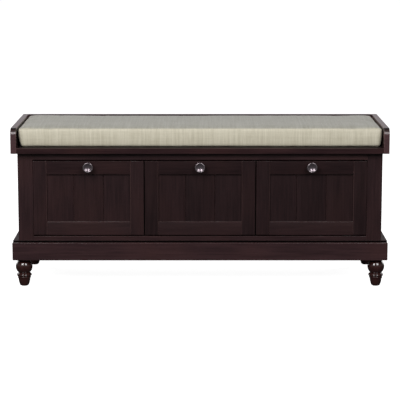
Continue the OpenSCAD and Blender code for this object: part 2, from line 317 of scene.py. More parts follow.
@dataclass(frozen=True)
class StainedWood(Finish):
    """Espresso stain under lacquer, with the grain's pores and streaks just showing."""

    slot: str = "espresso_wood"
    grain: Grain = Grain.ALONG_X
    coats: Coats = Coats.SATIN
    dark: Colour = (0.0105, 0.0051, 0.0058)
    light: Colour = (0.0280, 0.0132, 0.0142)
    # The edges' colour: stain rubbed thin, and a painted highlight where eased board edges catch
    # the light
    rubbed: Colour = (0.120, 0.066, 0.064)
    roughness: float = 0.34
    relief: float = 0.12 * MM

    def words(self) -> list[Any]:
        """Name the material by its slot, coats and grain."""
        return [self.slot, self.coats, self.grain]

    def weave(self, graph: Graph) -> None:
        """Lay streaks and pores along the grain, and lighten the edges as rubbed-through stain and
        as a painted highlight.

        Args:
            graph: The material's graph.
        """
        here = graph.places()
        along = graph.scaled(here, self.grain.value)
        figure = graph.noise(along, 16.0, 3.0, 0.8)
        streaks = graph.noise(along, 190.0, 4.0)
        fibres = graph.noise(along, 720.0, 2.0)
        pores = graph.noise(along, 1500.0, 1.0).step(0.60, 0.72)
        cloud = graph.noise(here, 5.0, 2.0)
        shade = figure * 0.55 + streaks * 0.85 + fibres * 0.25 + cloud * 0.35 - 0.52
        wood = graph.blend(shade.step(0.0, 1.0), self.dark, self.light)
        ruddy = graph.blend(cloud.step(0.45, 0.75) * 0.35, wood, (0.030, 0.0125, 0.0115))
        # Eased edges are lightened: partly rubbed stain, partly a painted highlight where they
        # catch the light
        worn = graph.attribute("wear") * (0.35 + 0.5 * streaks)
        rubbed = graph.blend(worn.step(0.10, 0.60) * 0.7, ruddy, self.rubbed)
        filled = graph.blend(pores * 0.55, rubbed, (0.004, 0.0025, 0.0025))
        toned = graph.blend(1.0, filled, 1.0 + graph.attribute("tone"), "MULTIPLY")
        relief = fibres * 0.35 + streaks * 0.25 - pores * 0.8
        gloss, lacquer, lacquer_roughness, lacquer_ior = self.coats.value
        graph.surface(
            Base_Color=toned,
            Roughness=self.roughness + 0.14 * (streaks - 0.5) + 0.12 * pores,
            Normal=graph.bump(relief, self.relief, 0.5),
            Specular_IOR_Level=gloss,
            Coat_Weight=lacquer,
            Coat_Roughness=lacquer_roughness,
            Coat_IOR=lacquer_ior,
        )


@dataclass(frozen=True)
class BirchPly(Finish):
    """Clear sealed birch plywood, with its plies showing on cut edges."""

    slot: str = "birch_wood"
    grain: Grain = Grain.ALONG_Y
    plies: int = 9

    def words(self) -> list[Any]:
        """Name the material by its slot and grain."""
        return [self.slot, self.grain]

    def weave(self, graph: Graph) -> None:
        """Lay pale fibres along the face and dark plies across the edges.

        Args:
            graph: The material's graph.
        """
        here = graph.places()
        along = graph.scaled(here, self.grain.value)
        figure = graph.noise(along, 22.0, 3.0, 1.2)
        fibres = graph.noise(along, 420.0, 3.0)
        flecks = graph.noise(along, 1100.0, 1.0).step(0.62, 0.74)
        face = graph.blend(figure.step(0.3, 0.7), (0.50, 0.365, 0.225), (0.62, 0.475, 0.310))
        grained = graph.blend(fibres * 0.35, face, (0.43, 0.300, 0.175))
        flecked = graph.blend(flecks * 0.5, grained, (0.27, 0.170, 0.090))
        across = graph.attribute("across")
        edge = across.step(0.01, 0.04) * (1.0 - across.step(0.96, 0.99))
        ply = (across * (math.pi * self.plies)).sine().step(-0.25, 0.25)
        striped = graph.blend(edge * ply * 0.75, flecked, (0.24, 0.150, 0.085))
        graph.surface(
            Base_Color=striped,
            Roughness=0.48 + 0.15 * fibres,
            Normal=graph.bump(fibres * 0.5 - flecks * 0.6 - edge * ply * 0.5, 0.15 * MM, 0.5),
            Specular_IOR_Level=0.35,
        )


@dataclass(frozen=True)
class Hardboard(Finish):
    """Stained hardboard with its felted surface."""

    slot: str = "back_hardboard"

    def weave(self, graph: Graph) -> None:
        """Felt the surface with short fibres.

        Args:
            graph: The material's graph.
        """
        here = graph.places()
        felt = graph.noise(here, 700.0, 4.0, 1.5)
        blotch = graph.noise(here, 9.0, 3.0)
        brown = graph.blend(blotch.step(0.3, 0.7), (0.034, 0.021, 0.018), (0.052, 0.034, 0.029))
        felted = graph.blend(felt.step(0.45, 0.75) * 0.5, brown, (0.085, 0.060, 0.048))
        graph.surface(
            Base_Color=felted,
            Roughness=0.7 + 0.15 * felt,
            Normal=graph.bump(felt, 0.2 * MM, 0.5),
            Specular_IOR_Level=0.25,
        )


@dataclass(frozen=True)
class Linen(Finish):
    """Slubbed linen-look weave, read from the cover's own cutting pattern in metres."""

    slot: str = "cushion_fabric"
    thread: float = 0.9 * MM
    pale: Colour = (0.665, 0.625, 0.505)
    deep: Colour = (0.420, 0.385, 0.285)

    def weave(self, graph: Graph) -> None:
        """Cross warp and weft, and thicken some threads into slubs.

        Args:
            graph: The material's graph.
        """
        cut = graph.node("ShaderNodeUVMap", {"uv_map": "cutting_pattern"})
        split = {axis: graph.node("ShaderNodeSeparateXYZ", {}, {0: cut}, axis) for axis in (0, 1)}
        turns = math.tau / self.thread
        warp = (split[0] * turns).sine()
        weft = (split[1] * turns).sine()
        slub_up = graph.noise(graph.scaled(cut, (900.0, 22.0, 1.0)), 1.0, 2.0)
        slub_across = graph.noise(graph.scaled(cut, (22.0, 900.0, 1.0)), 1.0, 2.0)
        band_up = graph.noise(graph.scaled(cut, (170.0, 3.5, 1.0)), 1.0, 3.0)
        band_across = graph.noise(graph.scaled(cut, (3.5, 120.0, 1.0)), 1.0, 2.0)
        cloud = graph.noise(cut, 18.0, 2.0)
        threads = warp * weft * 0.07 + slub_up * 0.75 + slub_across * 0.35
        shade = threads + band_up * 0.60 + band_across * 0.20 + cloud * 0.25 - 0.58
        cloth = graph.blend(shade.step(0.05, 0.95), self.deep, self.pale)
        # Painted shade: faces that look up are darkened and cooled, standing in for the top
        # catching less light than the front
        pressed = graph.attribute("flat").step(0.55, 1.0)
        worn = graph.blend(pressed, cloth, (0.795, 0.835, 0.925), "MULTIPLY")
        relief = warp * weft * 0.35 + slub_up * 0.8 + slub_across * 0.6
        # Painted shade along the sewn seams, where the cover creases
        seam = graph.attribute("seam")
        graph.surface(
            Base_Color=graph.blend(seam.step(0.55, 1.0) * 0.15, worn, (0.26, 0.235, 0.17)),
            Roughness=0.43 + 0.14 * slub_up,
            Normal=graph.bump(relief, 0.20 * MM, 0.4),
            Specular_IOR_Level=0.40,
            Sheen_Weight=0.15,
            Sheen_Roughness=0.4,
        )


@dataclass(frozen=True)
class DarkBronze(Finish):
    """Polished dark bronze with a thin, uneven patina."""

    slot: str = "knob_metal"

    def weave(self, graph: Graph) -> None:
        """Cloud the metal with patina and fine polishing marks.

        Args:
            graph: The material's graph.
        """
        here = graph.places()
        cloud = graph.noise(here, 90.0, 3.0)
        marks = graph.noise(graph.scaled(here, (1.0, 0.2, 1.0)), 2500.0, 2.0)
        tarnish = cloud.step(0.50, 0.75)
        metal = graph.blend(tarnish * 0.7, (0.208, 0.176, 0.194), (0.145, 0.120, 0.132))
        wear = graph.attribute("wear").step(0.3, 0.9)
        rubbed = graph.blend(wear * 0.12, metal, (0.40, 0.34, 0.33))
        graph.surface(
            Base_Color=rubbed,
            Metallic=0.8,
            Roughness=0.21 + 0.10 * tarnish + 0.05 * marks,
            Normal=graph.bump(marks, 0.02 * MM, 0.3),
        )


@dataclass(frozen=True)
class Zinc(Finish):
    """Bright zinc plate on rolled steel."""

    slot: str = "zinc_steel"

    def weave(self, graph: Graph) -> None:
        """Streak the plate along the rolling direction and cloud it lightly.

        Args:
            graph: The material's graph.
        """
        here = graph.places()
        rolled = graph.noise(graph.scaled(here, (1.0, 0.02, 1.0)), 1600.0, 2.0)
        cloud = graph.noise(here, 60.0, 3.0)
        plate = graph.blend(cloud.step(0.35, 0.7), (0.56, 0.565, 0.57), (0.68, 0.685, 0.69))
        streaked = graph.blend(rolled.step(0.5, 0.8) * 0.3, plate, (0.42, 0.42, 0.43))
        graph.surface(
            Base_Color=streaked,
            Metallic=1.0,
            Roughness=0.30 + 0.15 * cloud + 0.10 * rolled,
            Normal=graph.bump(rolled, 0.03 * MM, 0.4),
        )


@dataclass(frozen=True)
class Nylon(Finish):
    """Moulded nylon with a fine spark texture."""

    slot: str = "glide_plastic"

    def weave(self, graph: Graph) -> None:
        """Roughen the plastic with a fine mould texture.

        Args:
            graph: The material's graph.
        """
        here = graph.places()
        spark = graph.noise(here, 2200.0, 2.0)
        scuff = graph.noise(here, 120.0, 3.0).step(0.5, 0.75)
        plastic = graph.blend(scuff * 0.5, (0.042, 0.041, 0.040), (0.085, 0.083, 0.080))
        graph.surface(
            Base_Color=plastic,
            Roughness=0.5 + 0.2 * spark,
            Normal=graph.bump(spark, 0.04 * MM, 0.5),
        )


# ---- Workshop ----


@dataclass
class Board:
    """One board between two corners, and how much lighter it is than the plain stain."""

    low: Vector
    high: Vector
    tone: float = 0.0

    def shifted(self, **changes: float) -> "Board":
        """Return a copy whose corners are replaced by name, such as low_x or high_z.

        Args:
            changes: The new coordinates.

        Returns:
            The changed copy.
        """
        corners = {"low": self.low.copy(), "high": self.high.copy()}
        for name, value in changes.items():
            corner, axis = name.split("_")
            corners[corner]["xyz".index(axis)] = value
        return Board(corners["low"], corners["high"], self.tone)


def lies_at(
    item: Any, x: float | None = None, y: float | None = None, z: float | None = None
) -> bool:
    """Tell whether all corners of an edge or face have the given coordinates.

    Args:
        item: An edge or face in edit mode.
        x: Wanted X, or None for any.
        y: Wanted Y, or None for any.
        z: Wanted Z, or None for any.

    Returns:
        True if they all match.
    """
    wanted = [(axis, value) for axis, value in enumerate((x, y, z)) if value is not None]
    return all(abs(v.co[axis] - value) < TOLERANCE for v in item.verts for axis, value in wanted)


class Workshop:
    """The operations that pieces are made with."""

    # The boards stamped so far, and what sets the grain of boards and of copies apart
    seeds = 0
    seed_range = 7.0
    copy_shift = 1.37
    # How strongly a leaning corner counts as a worn edge, which is lightened both as wear and as a
    # painted highlight
    wear_gain = 3.4
    # Edges sharper than these are eased, or stay crisp on turned work
    ease_angle = math.radians(40.0)
    turned_angle = math.radians(50.0)

    @staticmethod
    def take(*pieces: bpy.types.Object) -> None:
        """Select these pieces alone, the first one active."""
        bpy.ops.object.select_all(action="DESELECT")
        for piece in pieces:
            piece.select_set(True)
        bpy.context.view_layer.objects.active = pieces[0]

    @classmethod
    @contextmanager
    def editing(cls, piece: bpy.types.Object, pick: str = "EDGE") -> Iterator[None]:
        """Open a piece in edit mode with nothing selected, and close it afterwards.

        Args:
            piece: The piece to work on.
            pick: What is selected: VERT, EDGE or FACE.
        """
        cls.take(piece)
        bpy.ops.object.mode_set(mode="EDIT")
        bpy.ops.mesh.select_mode(type=pick)
        bpy.ops.mesh.select_all(action="DESELECT")
        yield
        bpy.ops.object.mode_set(mode="OBJECT")

    @staticmethod
    def pick(piece: bpy.types.Object, kind: str, test: Callable[[Any], bool]) -> None:
        """Select the edges or faces of a piece in edit mode that pass a test.

        Args:
            piece: The piece in edit mode.
            kind: "edges" or "faces".
            test: Tells whether one of them is wanted.
        """
        mesh = bmesh.from_edit_mesh(piece.data)
        for item in getattr(mesh, kind):
            item.select_set(test(item))
        mesh.select_flush_mode()
        bmesh.update_edit_mesh(piece.data)

    @staticmethod
    def label(piece: bpy.types.Object, name: str) -> None:
        """Give a piece and its mesh a name."""
        piece.name = name
        piece.data.name = name

    @staticmethod
    def mark(piece: bpy.types.Object, name: str, values: list[float]) -> None:
        """Store a number for each corner of a piece's mesh under a name."""
        layer = piece.data.attributes.get(name) or piece.data.attributes.new(name, "FLOAT", "POINT")
        layer.data.foreach_set("value", values)

    @staticmethod
    def primitive(add: Callable[..., Any], **shape: Any) -> bpy.types.Object:
        """Add a primitive that is selected alone, with its place in its mesh.

        Args:
            add: The operator that adds it.
            shape: Its size and place, by the operator's own words.

        Returns:
            The primitive.
        """
        bpy.ops.object.select_all(action="DESELECT")
        add(**shape)
        bpy.ops.object.transform_apply(location=True, rotation=True, scale=True)
        return bpy.context.active_object

    @classmethod
    def cuboid(cls, name: str, board: Board) -> bpy.types.Object:
        """Add a block between a board's corners.

        Args:
            name: The piece's name.
            board: Its corners and tone.

        Returns:
            The block, with its place in its mesh.
        """
        middle = (board.low + board.high) / 2
        made = cls.primitive(
            bpy.ops.mesh.primitive_cube_add, size=1.0, location=middle, scale=board.high - board.low
        )
        cls.label(made, name)
        cls.stamp(made, board.tone)
        return made

    @classmethod
    def stamp(cls, piece: bpy.types.Object, tone: float) -> None:
        """Give a board its own grain and tone.

        Args:
            piece: The board.
            tone: How much lighter than the others it is.
        """
        cls.seeds += 1
        seed = (cls.seeds * GOLDEN) % 1.0 * cls.seed_range
        for name, value in (("seed", seed), ("tone", tone)):
            cls.mark(piece, name, [value] * len(piece.data.vertices))

    @classmethod
    def round_over(
        cls, piece: bpy.types.Object, radius: float, steps: int, test: Callable[[Any], bool]
    ) -> None:
        """Round some edges of a piece.

        Args:
            piece: The piece to shape.
            radius: How far from the edge the rounding starts.
            steps: How many flats make up the rounding.
            test: Tells whether an edge is rounded.
        """
        with cls.editing(piece):
            cls.pick(piece, "edges", test)
            bpy.ops.mesh.bevel(offset=radius, segments=steps, profile=0.5, affect="EDGES")

    @classmethod
    def join(cls, name: str, pieces: list[bpy.types.Object]) -> bpy.types.Object:
        """Join several boards into one piece.

        Args:
            name: The joined piece's name.
            pieces: The boards.

        Returns:
            The joined piece.
        """
        cls.take(*pieces)
        if len(pieces) > 1:
            bpy.ops.object.join()
        joined = bpy.context.view_layer.objects.active
        cls.label(joined, name)
        return joined

    @classmethod
    def ease(cls, piece: bpy.types.Object, radius: float, steps: int = 3) -> bpy.types.Object:
        """Take the sharpness off every remaining edge and mark it, for lightening as handling wear
        and as a painted highlight.

        Args:
            piece: The piece to finish.
            radius: How much of each edge is taken.
            steps: How many flats make up the rounding.

        Returns:
            The same piece.
        """
        cls.take(piece)
        bpy.ops.object.shade_smooth()
        bpy.ops.object.modifier_add(type="BEVEL")
        bevel = piece.modifiers[-1]
        bevel.width = radius
        bevel.segments = steps
        bevel.limit_method = "ANGLE"
        bevel.angle_limit = cls.ease_angle
        bevel.harden_normals = True
        bpy.ops.object.modifier_apply(modifier=bevel.name)
        cls.mark_wear(piece)
        return piece

    @classmethod
    def mark_wear(cls, piece: bpy.types.Object) -> None:
        """Store how far each corner leans away from all three axes, which finds the eased edges;
        the finish lightens them as wear and as a painted highlight.
        """
        lean = [1.0 - max(abs(part) for part in vertex.normal) for vertex in piece.data.vertices]
        cls.mark(piece, "wear", [min(1.0, value * cls.wear_gain) for value in lean])

    @classmethod
    def lumber(
        cls, name: str, boards: list[Board], radius: float, steps: int = 3
    ) -> bpy.types.Object:
        """Make plain eased boards that form one piece.

        Args:
            name: The piece's name.
            boards: The corners and tones of its boards.
            radius: How much of each edge is taken.
            steps: How many flats make up the rounding.

        Returns:
            The finished piece.
        """
        blocks = [cls.cuboid(name, board) for board in boards]
        return cls.ease(cls.join(name, blocks), radius, steps)

    @staticmethod
    def stain(piece: bpy.types.Object, tone: float, chosen: Callable[[Vector], bool]) -> None:
        """Give a part of a finished piece a tone of its own; here it paints shade into grooves and
        joints and under the cushion.

        Args:
            piece: The piece.
            tone: How much lighter than the plain stain it comes out, as a fraction.
            chosen: Picks that part by its vertices' places.
        """
        for vertex, entry in zip(piece.data.vertices, piece.data.attributes["tone"].data):
            if chosen(vertex.co):
                entry.value = tone

    @classmethod
    def turn(
        cls, name: str, profile: list[Point], foot: Vector, up: Vector, steps: int
    ) -> bpy.types.Object:
        """Turn a piece on the lathe.

        Args:
            name: The piece's name.
            profile: Radius and height of each point of its outline, from one end to the other.
            foot: Where height 0 of the axis is.
            up: The direction of the axis, upright or along -Y.
            steps: How many facets go round.

        Returns:
            The closed, smooth piece.
        """
        side = Vector((1.0, 0.0, 0.0))
        points = [foot + side * radius + up * height for radius, height in profile]
        made = cls.primitive(bpy.ops.mesh.primitive_plane_add, size=MM, location=points[0])
        cls.label(made, name)
        with cls.editing(made, "VERT"):
            bpy.ops.mesh.select_all(action="SELECT")
            bpy.ops.mesh.merge(type="CENTER")
            for here, there in zip(points, points[1:]):
                bpy.ops.mesh.extrude_region_move(TRANSFORM_OT_translate={"value": there - here})
            bpy.ops.mesh.select_all(action="SELECT")
            bpy.ops.mesh.spin(steps=steps, angle=math.tau, center=foot, axis=up)
            bpy.ops.mesh.select_all(action="SELECT")
            bpy.ops.mesh.remove_doubles(threshold=TOLERANCE)
            bpy.ops.mesh.normals_make_consistent(inside=False)
        cls.take(made)
        bpy.ops.object.shade_smooth_by_angle(angle=cls.turned_angle)
        cls.stamp(made, 0.0)
        return made

    @classmethod
    def copy(cls, piece: bpy.types.Object, name: str, shift: Vector) -> bpy.types.Object:
        """Copy a finished piece to another place, with its own mesh and its own grain.

        Args:
            piece: The piece to copy.
            name: The copy's name.
            shift: How far the copy is moved.

        Returns:
            The copy.
        """
        made = piece.copy()
        made.data = piece.data.copy()
        cls.label(made, name)
        bpy.context.scene.collection.objects.link(made)
        made.data.transform(Matrix.Translation(shift))
        for entry in made.data.attributes["seed"].data:
            entry.value += cls.copy_shift + shift.length
        return made


def arc(middle: Point, radius: float, start: float, end: float, steps: int) -> list[Point]:
    """Return points along an arc.

    Args:
        middle: The arc's middle.
        radius: The arc's radius.
        start: The angle of its first point, in degrees.
        end: The angle of its last point, in degrees.
        steps: How many stretches it has.

    Returns:
        One more point than steps.
    """
    turns = [math.radians(start + (end - start) * k / steps) for k in range(steps + 1)]
    return [(middle[0] + radius * math.cos(a), middle[1] + radius * math.sin(a)) for a in turns]


def install(piece: bpy.types.Object, node: str, body: str, finish: Finish) -> None:
    """Dress a new piece and put it in the place of a node.

    Args:
        piece: The finished piece.
        node: The node that it stands for.
        body: The body that it rides on.
        finish: Its finish.
    """
    piece.data.materials.clear()
    piece.data.materials.append(finish.material())
    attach(piece, body)
    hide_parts(node)
    LOG.info("%s: %d faces, stands for %s", piece.name, len(piece.data.polygons), node)


def dress_node(node: str, finish: Finish) -> None:
    """Give a node of the frame that stays in sight its finish.

    Args:
        node: The node's name.
        finish: Its finish.
    """
    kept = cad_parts[node]
    kept.data.materials.clear()
    kept.data.materials.append(finish.material())
    LOG.info("%s: kept, dressed as %s", node, finish.slot)


def board_of(node: str, tone: float = 0.0) -> Board:
    """Return the board that a node's box gives.

    Args:
        node: The node's name.
        tone: How much lighter than the others it is.

    Returns:
        The board.
    """
    low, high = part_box(node)
    return Board(low, high, tone)


def saw(
    node: str, grain: Grain, tone: float, ease: float, coats: Coats = Coats.SATIN
) -> bpy.types.Object:
    """Make a plain stained board in the place of one of the cabinet's nodes.

    Args:
        node: The node's name.
        grain: The way that its fibres run.
        tone: How much lighter than the plain stain it is.
        ease: How much of each edge is taken.
        coats: How thickly it is lacquered.

    Returns:
        The board.
    """
    board = Workshop.lumber(f"{node}_wood", [board_of(node, tone)], ease)
    install(board, node, "cabinet", StainedWood(grain=grain, coats=coats))
    return board


# ---- Sub-assemblies ----


@dataclass
class Plinth:
    """Four aprons under the base board, with a groove behind the front apron's top edge."""

    front_ease: float = 1.4 * MM
    ease: float = 1.5 * MM
    rebate_wide: float = 6.0 * MM
    rebate_deep: float = 8.0 * MM
    front_tone: float = 0.95
    # The painted shade that darkens the base board's edge in the groove, and how deep it goes from
    # the face
    groove_tone: float = -0.92
    groove_skin: float = 0.5 * MM

    def front_apron(self) -> bpy.types.Object:
        """Make the front apron: a block whose front part is drawn up, which leaves the rebate.

        Returns:
            The apron.
        """
        whole = board_of("plinth_front", self.front_tone)
        lip_y = whole.high.y - self.rebate_wide
        rebate_z = whole.high.z - self.rebate_deep
        apron = Workshop.cuboid("plinth_front_wood", whole.shifted(high_z=rebate_z))
        with Workshop.editing(apron, "FACE"):
            bpy.ops.mesh.select_all(action="SELECT")
            bpy.ops.mesh.bisect(plane_co=(0.0, lip_y, 0.0), plane_no=(0.0, 1.0, 0.0))
            Workshop.pick(
                apron,
                "faces",
                lambda face: lies_at(face, z=rebate_z) and face.calc_center_median().y < lip_y,
            )
            bpy.ops.mesh.extrude_region_move(
                TRANSFORM_OT_translate={"value": (0.0, 0.0, self.rebate_deep)}
            )
        return Workshop.ease(apron, self.front_ease)

    def build(self) -> None:
        """Make the aprons and the base board, and dress the blocks inside."""
        install(self.front_apron(), "plinth_front", "cabinet", StainedWood(grain=Grain.ALONG_X))
        base = saw("base_board", Grain.ALONG_X, 0.9, self.ease, Coats.THIN)
        # Painted shade: the base board's front edge inside the groove is darkened
        in_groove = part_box("base_board")[0].y + self.groove_skin
        Workshop.stain(base, self.groove_tone, lambda at: at.y < in_groove)
        for node, grain in (
            ("plinth_left", Grain.ALONG_Y),
            ("plinth_right", Grain.ALONG_Y),
            ("plinth_back", Grain.ALONG_X),
        ):
            saw(node, grain, 0.3, self.ease)
        dress_node("corner_blocks", BirchPly(grain=Grain.ALONG_Z))


@dataclass
class Feet:
    """Four turned feet: a ball on a ring and a short taper, each on a nylon glide."""

    ball_r: float = 27.0 * MM
    ball_z: float = 63.0 * MM
    neck_r: float = 19.0 * MM
    ring_r: float = 24.0 * MM
    ring_tube: float = 4.5 * MM
    ring_z: float = 36.0 * MM
    step_r: float = 21.0 * MM
    step_h: float = 6.0 * MM
    step_round: float = 1.4 * MM
    taper_r: float = 19.3 * MM
    taper_swell: float = 0.9 * MM
    toe_r: float = 14.5 * MM
    toe_round: float = 1.5 * MM
    seat_r: float = 15.0 * MM
    bolt_r: float = 4.3 * MM
    bolt_end: float = 50.0 * MM
    # Wear grows with the radius, counted in radii of the step
    wear_gain: float = 1.6
    wear_from: float = 1.12

    def profile(self, bottom: float, top: float) -> list[Point]:
        """Return the outline from the toe up to the seat.

        Args:
            bottom: Height of the toe's underside.
            top: Height of the seat.

        Returns:
            Radius and height of each point.
        """
        step_z = self.ring_z - self.ring_tube - self.step_h
        ring_middle = (self.ring_r - self.ring_tube, self.ring_z)
        neck_z = self.ball_z - math.sqrt(self.ball_r**2 - self.neck_r**2)
        seat_angle = math.degrees(math.acos(self.seat_r / self.ball_r))
        neck_angle = math.degrees(math.acos(self.neck_r / self.ball_r))
        toe = arc((self.toe_r - self.toe_round, bottom + self.toe_round), self.toe_round, -90, 0, 4)
        toe_z = bottom + self.toe_round
        steps = 8
        taper = [
            (
                self.toe_r
                + (self.taper_r - self.toe_r) * k / steps
                + self.taper_swell * math.sin(math.pi * k / steps),
                toe_z + (step_z - bottom - self.toe_round) * k / steps,
            )
            for k in range(1, steps + 1)
        ]
        step_middle = self.step_r - self.step_round
        step = arc((step_middle, step_z + self.step_round), self.step_round, -90, 0, 4)
        step_top = step_z + self.step_h - self.step_round
        step += arc((step_middle, step_top), self.step_round, 0, 70, 3)
        ring = arc(ring_middle, self.ring_tube, -78, 78, 14)
        ball = arc((0.0, self.ball_z), self.ball_r, -neck_angle, seat_angle, 30)
        hollow = [(self.neck_r - 0.5 * MM, (neck_z + self.ring_z + self.ring_tube) / 2)]
        bolt_z = bottom + self.bolt_end
        seat = [(self.seat_r, top), (self.bolt_r, top), (self.bolt_r, bolt_z), (0.0, bolt_z)]
        return [(0.0, bottom), *toe, *taper, *step, *ring, *hollow, *ball, *seat]

    def build(self) -> None:
        """Turn one foot, copy it to the other corners, and dress bolts and glides."""
        low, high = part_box("foot_front_left")
        foot = Vector(((low.x + high.x) / 2, (low.y + high.y) / 2, 0.0))
        first = Workshop.turn(
            "foot_front_left_wood", self.profile(low.z, high.z), foot, Vector((0, 0, 1)), steps=72
        )
        corners = [vertex.co - foot for vertex in first.data.vertices]
        reach = [corner.xy.length / self.step_r - self.wear_from for corner in corners]
        Workshop.mark(first, "wear", [max(0.0, min(1.0, self.wear_gain * far)) for far in reach])
        finish = StainedWood(
            slot="turned_wood",
            grain=Grain.ALONG_Z,
            coats=Coats.GLOSS,
            dark=(0.0185, 0.0062, 0.0054),
            light=(0.0450, 0.0142, 0.0118),
            relief=0.05 * MM,
        )
        for node in ("foot_front_right", "foot_back_left", "foot_back_right"):
            copied = Workshop.copy(first, f"{node}_wood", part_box(node)[0] - low)
            install(copied, node, "cabinet", finish)
        install(first, "foot_front_left", "cabinet", finish)
        dress_node("foot_bolts", Zinc())
        dress_node("foot_glides", Nylon())


@dataclass
class Cabinet:
    """The case between plinth and tray: ends, face frame, partitions, back and stretchers."""

    ease: float = 0.8 * MM

    def build(self) -> None:
        """Make the boards that show and dress those inside."""
        for node, grain, tone in (
            ("side_panel_left", Grain.ALONG_Z, 0.06),
            ("side_panel_right", Grain.ALONG_Z, 0.0),
            ("stile_left", Grain.ALONG_Z, 0.42),
            ("stile_right", Grain.ALONG_Z, 0.26),
            # The top rail is lightened as painted light, lifting the shade under the seat's
            # overhang
            ("top_rail", Grain.ALONG_X, 0.90),
            ("bottom_rail", Grain.ALONG_X, 0.55),
        ):
            saw(node, grain, tone, self.ease)
        for node in ("divider_left", "divider_right"):
            dress_node(node, StainedWood(grain=Grain.ALONG_Z))
        dress_node("back_panel", Hardboard())
        dress_node("runner_packers", BirchPly(grain=Grain.ALONG_Y))
        dress_node("top_stretchers", BirchPly(grain=Grain.ALONG_X))
        dress_node("seat_screws", Zinc())


@dataclass
class Tray:
    """The seat board between two arms with a rounded front corner, and the rail behind."""

    ease: float = 1.5 * MM
    corner_r: float = 22.0 * MM
    # The part of the rounding that gets painted shade, in degrees up from the arm's front end
    corner_from: float = 26.0
    corner_to: float = 84.0
    # Painted light: the arm is lightened, its top more so as a painted reflection, and its rounding
    # darkened as painted shade
    arm_tone: float = 2.60
    corner_tone: float = -0.6
    top_tone: float = 4.8
    # Painted shade on the seat board's top, where the cushion shades it
    seat_top_tone: float = -0.35
    seat_top_skin: float = 0.2 * MM

    def arm(self, side: str) -> bpy.types.Object:
        """Make one arm.

        Args:
            side: "left" or "right".

        Returns:
            The arm with its front top corner rounded.
        """
        whole = board_of(f"arm_{side}", self.arm_tone)
        made = Workshop.cuboid(f"arm_{side}_wood", whole)
        Workshop.round_over(
            made, self.corner_r, 14, lambda edge: lies_at(edge, y=whole.low.y, z=whole.high.z)
        )
        Workshop.ease(made, self.ease)
        self.stain_corner(made, whole)
        return made

    def stain_corner(self, arm: bpy.types.Object, whole: Board) -> None:
        """Paint shade on the rounding, standing in for the dark reflection there, and paint the top
        lighter, standing in for its grazing reflection.

        Args:
            arm: The arm.
            whole: Its corners.
        """
        for vertex, entry in zip(arm.data.vertices, arm.data.attributes["tone"].data):
            forward = whole.low.y + self.corner_r - vertex.co.y
            above = vertex.co.z - whole.high.z + self.corner_r
            turn = math.degrees(math.atan2(above, forward))
            if forward > 0.0 and self.corner_from < turn < self.corner_to:
                entry.value = self.corner_tone
            elif above > self.corner_r - self.ease:
                entry.value = self.top_tone

    def build(self) -> None:
        """Make the tray's four boards."""
        for side in ("left", "right"):
            finish = StainedWood(grain=Grain.ALONG_Y, coats=Coats.FULL)
            install(self.arm(side), f"arm_{side}", "cabinet", finish)
        seat = saw("seat_board", Grain.ALONG_X, 0.45, self.ease, Coats.THIN)
        # Painted shade: the seat board's top face is darkened
        on_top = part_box("seat_board")[1].z - self.seat_top_skin
        Workshop.stain(seat, self.seat_top_tone, lambda at: at.z > on_top)
        saw("back_rail", Grain.ALONG_X, 0.60, self.ease)


